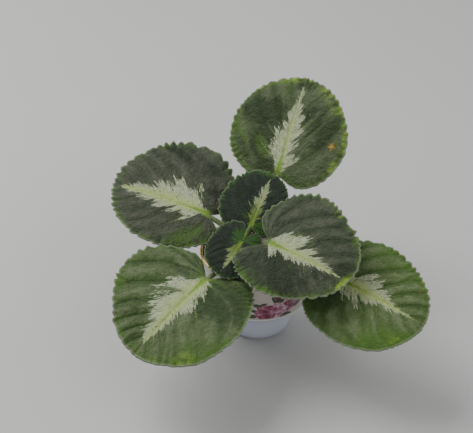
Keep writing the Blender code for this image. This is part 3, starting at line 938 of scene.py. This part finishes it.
def leaf_green(tree, leaf, blade, greens):
    """Painted shade in the vein grooves, painted sheen on the pillows between them, and the leaf's patches:
    painted shade, fresher green that is partly painted light, paler yellow green and brown stains.
    """
    crest = maths(tree, "SINE", times(tree, blade.off_vein, math.pi / 2))
    high = plus(tree, crest, swing(tree, blade.blotch, 1.7))
    # Painted shade in the vein grooves, stronger where the ribs show more.
    low = ramp(tree, high, 0.05, 0.65, blade.ribs, 0.0)
    low = times(tree, low, ramp(tree, blade.cloud, 0.36, 0.60, 1.1, 0.35))
    colour = blend(tree, low, greens["flat"], greens["groove_shade_and_speck"])
    # Painted sheen: a grey haze on the pillow tops between the veins.
    painted_sheen_share = times(
        tree,
        ramp(tree, high, 0.30, 1.15, minus(tree, 0.75, times(tree, blade.ribs, 0.75)), 1.0),
        ramp(tree, blade.cloud, 0.32, 0.60, 0.5, 1.0),
        ramp(tree, blade.veil, 0.34, 0.62, 0.40, 1.15),
        ramp(tree, blade.frost, 0.30, 0.65, 0.6, 1.3),
    )
    colour = blend(tree, painted_sheen_share, colour, greens["painted_sheen_grey"])
    streaky = leaf["streaky"]
    stripes = blade.stripe, 0.36 + 0.05 * streaky, 0.64 - 0.05 * streaky
    # The deep patches are painted shade: darker green where the leaf lies in shade.
    painted_shade = times(
        tree, grown_value(tree, "painted_shade"),
        ramp(tree, *stripes, 1.3 + 0.2 * streaky, 0.6 - 0.35 * streaky),
        ramp(tree, blade.blotch, 0.35, 0.62, 1.15, 0.75),
    )
    colour = blend(tree, ramp(tree, painted_shade, 0.1, 1.1, 0.0, 0.80), colour, greens["painted_shade"])
    # Fresher green at the edge, and the lively patches, which are fresher green and partly painted light.
    edge = ramp(tree, blade.edge, 0.82, 1.0)
    edge = times(tree, edge, ramp(tree, blade.blotch, 0.35, 0.62, 0.15, 0.8))
    fresh = times(tree, grown_value(tree, "fresh_and_lit"), ramp(tree, *stripes, 0.5 - 0.35 * streaky, 1.35))
    fresh = plus(tree, edge, fresh)
    colour = blend(tree, ramp(tree, fresh, 0.05, 1.0, 0.0, 0.9), colour, greens["fresh_and_lit"])
    colour = blend(tree, ramp(tree, blade.speckle, 0.50, 0.80, 0.0, 0.20), colour, HAIR_PALE)
    # Dark specks of the fine grain, in the colour of the painted groove shade.
    colour = blend(tree, ramp(tree, blade.speckle, 0.20, 0.45, 0.25, 0.0), colour, greens["groove_shade_and_speck"])
    paler = times(tree, grown_value(tree, "yellow"), ramp(tree, blade.blotch, 0.36, 0.58, 0.35, 1.2))
    colour = blend(tree, ramp(tree, paler, 0.05, 1.0), colour, YELLOW_GREEN)
    for x, y, spread, stain in leaf.get("stains", ()):
        away = distance(tree, minus(tree, blade.across, x), minus(tree, blade.along, y))
        away = plus(tree, away, swing(tree, blade.frost, 4.0 * spread))
        colour = blend(tree, ramp(tree, away, 0.3 * spread, 1.1 * spread, 0.9, 0.0), colour, stain)
    return colour


def flame_mark(tree, blade):
    """The silver flame: 1 inside, with barbs that point forwards, holes, and flecks outside."""
    row = plus(tree, on_right(tree, blade.across, 7.0), blade.seed * 13.0)
    start = maths(tree, "DIVIDE", minus(tree, blade.along, times(tree, blade.side, 0.5)),
                  plus(tree, times(tree, blade.side, 1.9), 1.0))
    broad = grain(tree, vector(tree, start, times(tree, blade.side, 0.2), row), 12.0, 1.0)
    barbs = grain(tree, vector(tree, start, times(tree, blade.side, 0.18), row), 42.0, 4.0, 0.72)
    crumb = grain(tree, vector(tree, start, times(tree, blade.side, 0.5), row), 60.0, 4.0, 0.7)
    width = grown_value(tree, "silver")
    ragged = plus(tree, swing(tree, broad, 2.6), swing(tree, barbs, 2.8))
    ragged = times(tree, ragged, plus(tree, width, 0.012))
    reach = plus(tree, minus(tree, width, blade.side), ragged)
    inside = ramp(tree, reach, -0.004, 0.007)
    holes = ramp(tree, plus(tree, crumb, times(tree, reach, 0.8)), 0.42, 0.50)
    flecks = ramp(tree, plus(tree, crumb, times(tree, reach, 1.7)), 0.57, 0.62)
    mark = maths(tree, "MAXIMUM", times(tree, inside, holes), times(tree, flecks, 0.8))
    return times(tree, mark, ramp(tree, width, -0.004, 0.004)), start, reach


def with_flame(tree, leaf, blade, ground, young):
    """Broken green streaks on the veins beside the flame, and the flame over them."""
    mark, start, reach = flame_mark(tree, blade)
    streak = times(
        tree,
        ramp(tree, blade.off_vein, 0.02, 0.15, 0.75, 0.0),
        ramp(tree, reach, -0.17, -0.04),
        ramp(tree, blade.stripe, 0.49, 0.58, 0.06, 1.0),
        ramp(tree, blade.frost, 0.42, 0.54, 0.15, 1.0),
        ramp(tree, blade.along, 0.50, 0.75, 1.0, 0.2),
    )
    colour = blend(tree, streak, ground, STREAK_GREEN)
    brushed = grain(tree, vector(tree, start, times(tree, blade.side, 0.2), blade.seed), 90.0, 3.0)
    silver = blend(tree, ramp(tree, brushed, 0.28, 0.58), SILVER_SHADE, SILVER)
    from_midrib = maths(tree, "DIVIDE", blade.side, plus(tree, grown_value(tree, "silver"), 0.02))
    silver = blend(tree, ramp(tree, from_midrib, 0.0, 0.75, leaf["cream"], 0.0), silver, CREAM)
    if young:
        silver = blend(tree, ramp(tree, blade.along, 0.20, 0.60, 0.9, 0.15), silver, YOUNG_FLAME)
    return blend(tree, times(tree, mark, ramp(tree, blade.speckle, 0.25, 0.5, 0.8, 0.97)), colour, silver)


def with_midrib(tree, blade, ground):
    """A green band at the base, and the midrib, which thins and fades towards the tip."""
    band = maths(tree, "DIVIDE", blade.side, ramp(tree, blade.along, -0.02, 0.25, 0.060, 0.015))
    band = times(
        tree,
        ramp(tree, band, 0.3, 1.0, 0.85, 0.0),
        ramp(tree, blade.along, 0.08, 0.32, 1.0, 0.0),
        ramp(tree, blade.along, -0.05, 0.0),
    )
    colour = blend(tree, band, ground, BASE_GREEN)
    rib = maths(tree, "DIVIDE", blade.side, ramp(tree, blade.along, 0.0, 0.85, 0.020, 0.004))
    rib = times(tree, ramp(tree, rib, 0.2, 1.0, 0.8, 0.0), ramp(tree, blade.along, 0.55, 0.90, 1.0, 0.1))
    rib_colour = blend(tree, ramp(tree, blade.along, 0.10, 0.5), BASE_GREEN, CREAM)
    return blend(tree, rib, colour, rib_colour)


def blade_bump(tree, blade):
    """Fine grain, a net of small cells, and the grooves of the side veins."""
    shifted = plus(tree, blade.across, times(tree, blade.blotch, 0.05))
    net = cells(tree, vector(tree, shifted, blade.along, blade.seed), 30.0, "DISTANCE_TO_EDGE")
    height = plus(
        tree,
        times(tree, blade.speckle, 0.30),
        ramp(tree, net, 0.0, 0.22, 0.0, 0.7),
        ramp(tree, blade.off_vein, 0.0, 0.12, 0.0, times(tree, blade.ribs, 0.7)),
    )
    return bump(tree, height, 0.00045, 0.9)


def blade_finish(name, leaf, young):
    finish, tree, shader, _ = new_finish(
        name + "_upper", Sheen_Weight=0.14, Sheen_Roughness=0.45, Specular_IOR_Level=0.22,
    )
    blade = blade_fields(tree, leaf)
    greens = {
        kind: young_green if young else between(grey, green, leaf["tone"])
        for kind, (grey, green, young_green) in LEAF_GREENS.items()
    }
    colour = leaf_green(tree, leaf, blade, greens)
    colour = with_flame(tree, leaf, blade, colour, young)
    colour = with_midrib(tree, blade, colour)
    colour = blend(tree, ramp(tree, blade.edge, 0.962, 0.996, 0.0, 0.55), colour, HAIR_PALE)
    lay_on(tree, shader, colour, ramp(tree, blade.speckle, 0.3, 0.7, 0.60, 0.80), blade_bump(tree, blade))
    return finish


def underside_finish(name, leaf):
    finish, tree, shader, _ = new_finish(
        name + "_under", Sheen_Weight=0.20, Sheen_Roughness=0.5, Specular_IOR_Level=0.25,
    )
    across, along = flat_place(tree)
    spot = vector(tree, across, along, leaf["seed"] + 40.0)
    patchy = grain(tree, spot, 14.0, 4.0)
    web = grain(tree, spot, 45.0, 4.0, 0.65)
    colour = blend(tree, ramp(tree, patchy, 0.3, 0.7), UNDER_DARK, UNDER_GREEN)
    colour = blend(tree, ramp(tree, vein_distance(tree, across), 0.04, 0.20, 0.7, 0.0), colour, UNDER_VEIN)
    colour = blend(tree, ramp(tree, web, 0.56, 0.66, 0.0, 0.35), colour, UNDER_WEB)
    lay_on(tree, shader, colour, 0.72, bump(tree, web, 0.0004))
    return finish


def rim_finish():
    finish, tree, shader, here = new_finish("leaf_rim", Sheen_Weight=0.3)
    lay_on(tree, shader, blend(tree, grain(tree, here, 700.0, 2.0), RIM_DARK, RIM_PALE), 0.8)
    return finish


def stalk_finish(name, dull, fresh):
    """Green, and brown for the few millimetres next to the crown."""
    finish, tree, shader, here = new_finish(name, Sheen_Weight=0.25, Sheen_Roughness=0.5)
    x, y, _ = split(tree, here)
    from_crown = distance(tree, minus(tree, x, CROWN_AT.x), minus(tree, y, CROWN_AT.y))
    patchy = ramp(tree, grain(tree, here, 260.0, 4.0), 0.35, 0.65)
    root = blend(tree, patchy, ROOT_DARK, ROOT_PALE)
    green = blend(tree, patchy, dull, fresh)
    colour = blend(tree, ramp(tree, from_crown, 0.004, 0.0075), root, green)
    lay_on(tree, shader, colour, 0.7, bump(tree, grain(tree, here, 900.0, 3.0), 0.0003))
    return finish


def hair_finish():
    finish, tree, shader, here = new_finish("leaf_hair", Sheen_Weight=0.2)
    lay_on(tree, shader, blend(tree, grain(tree, here, 300.0, 2.0), HAIR_GREY, HAIR_WHITE), 0.6)
    return finish


HAIRS_PER_SQUARE_CM = {UPPER: 7.0, UNDER: 5.0, EDGE: 60.0, STALK: 110.0}
HAIR_LENGTH = {UPPER: 0.0009, UNDER: 0.0008, EDGE: 0.0009, STALK: 0.0015}
HAIR_RADIUS = 0.00006
leaf_rim, leaf_hair = rim_finish(), hair_finish()
leaf_stalk = stalk_finish("leaf_stalk", *STALK_GREENS)
young_stalk = stalk_finish("young_stalk", *YOUNG_STALK_GREENS)


def whole_leaf(name, leaf, young):
    """Blade, keel and stalk in one closed mesh, with the modifiers applied."""
    size = YOUNG_SHARE if young else 1.0
    steps, rings = (YOUNG_STEPS, YOUNG_RINGS) if young else (BLADE_STEPS, BLADE_RINGS)
    finishes = [blade_finish(name, leaf, young), underside_finish(name, leaf), leaf_rim]
    finishes.append(young_stalk if young else leaf_stalk)
    blade = add_piece(
        name + "_blade", blade_body(leaf, steps, rings, BLADE_THICKNESS * size), finishes)
    radius = STALK_RADIUS * size
    stalk = bpy.data.objects.new(
        name + "_stalk", stalk_mesh(name + "_stalk", stalk_route(leaf, radius), radius))
    bpy.context.scene.collection.objects.link(stalk)
    for finish in finishes:
        stalk.data.materials.append(finish)
    join = blade.modifiers.new("stalk", "BOOLEAN")
    join.operation = "UNION"
    join.solver = "EXACT"
    join.object = stalk
    graph = bpy.context.evaluated_depsgraph_get()
    mesh = bpy.data.meshes.new_from_object(
        blade.evaluated_get(graph), preserve_all_data_layers=True, depsgraph=graph)
    blade.modifiers.clear()
    blade.data = mesh
    bpy.data.objects.remove(stalk)
    return blade


def hair_coat(name, grown, seed):
    """Short white hairs, thin cones, sown over the leaf by the area of its faces."""
    random.seed(seed)
    bm = bmesh.new()
    mesh = grown.data
    for finish_index, density in HAIRS_PER_SQUARE_CM.items():
        faces = [face for face in mesh.polygons if face.material_index == finish_index]
        areas = [face.area for face in faces]
        count = int(sum(areas) * 1e4 * density)
        for face in random.choices(faces, weights=areas, k=count):
            corners = [mesh.vertices[index].co for index in face.vertices]
            share = random.random()
            root = corners[0].lerp(corners[1], share).lerp(corners[2], random.random() * 0.6)
            lean = Vector([random.uniform(-0.5, 0.5) for _ in range(3)])
            way = (face.normal + lean).normalized()
            length = HAIR_LENGTH[finish_index] * random.uniform(0.6, 1.3)
            turned = way.to_track_quat("Z", "Y").to_matrix()
            tip = bm.verts.new(root + way * length)
            foot = [bm.verts.new(root + turned @ Vector((
                HAIR_RADIUS * math.cos(turn), HAIR_RADIUS * math.sin(turn), -0.05 * length,
            ))) for turn in (0.0, math.tau / 3, 2 * math.tau / 3)]
            bm.faces.new(reversed(foot))
            for first, second in zip(foot, foot[1:] + foot[:1]):
                bm.faces.new((first, second, tip))
    return add_piece(name, bm, [leaf_hair])


for name, leaf in LEAVES.items():
    young = name.startswith("young")
    grown = whole_leaf(name, leaf, young)
    hairs = hair_coat(name + "_hairs", grown, int(leaf["seed"]))
    for piece in (grown, hairs):
        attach(piece, "root")
        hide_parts(name)

# Studio: a plain pale floor, a broad soft lamp high on the left, a weak one at the right,
# and a camera that looks down on the plant from the front.
FLOOR_HALF = 4.0
FLOOR_GREY, FLOOR_PALE = (0.515, 0.512, 0.50), (0.55, 0.547, 0.535)
LAMPS_AIM = Vector((0, 0, 0.08))
ROOM_COLOUR = (0.86, 0.87, 0.88, 1.0)
ROOM_STRENGTH = 0.62
CAMERA_AT = (-0.01775, -0.7073, 0.5477)
CAMERA_TILT = 58.0
LENS_MM = 80.0
SENSOR_MM = 36.0


def floor_finish():
    finish, tree, shader, here = new_finish("pale_floor")
    lay_on(tree, shader, blend(tree, grain(tree, here, 3.0, 2.0), FLOOR_GREY, FLOOR_PALE), 0.7)
    return finish


floor_body = bmesh.new()
bmesh.ops.create_grid(floor_body, x_segments=2, y_segments=2, size=FLOOR_HALF)
floor = add_piece("studio_floor", floor_body, [floor_finish()])

for lamp_name, place, size, watts in (
    ("key_lamp", (-0.9, 0.5, 1.5), 1.2, 26.5),
    ("fill_lamp", (1.2, -1.0, 1.1), 1.4, 8.0),
):
    lamp = bpy.data.lights.new(lamp_name, "AREA")
    lamp.size = size
    lamp.energy = watts
    holder = bpy.data.objects.new(lamp_name, lamp)
    holder.location = place
    holder.rotation_euler = (LAMPS_AIM - Vector(place)).to_track_quat("-Z", "Y").to_euler()
    bpy.context.scene.collection.objects.link(holder)

world = bpy.data.worlds.new("soft_room")
world.use_nodes = True
world.node_tree.nodes["Background"].inputs["Color"].default_value = ROOM_COLOUR
world.node_tree.nodes["Background"].inputs["Strength"].default_value = ROOM_STRENGTH
bpy.context.scene.world = world

lens = bpy.data.cameras.new("camera")
lens.lens = LENS_MM
lens.sensor_width = SENSOR_MM
camera = bpy.data.objects.new("camera", lens)
camera.location = CAMERA_AT
camera.rotation_euler = (math.radians(CAMERA_TILT), 0.0, 0.0)
bpy.context.scene.collection.objects.link(camera)
bpy.context.scene.camera = camera
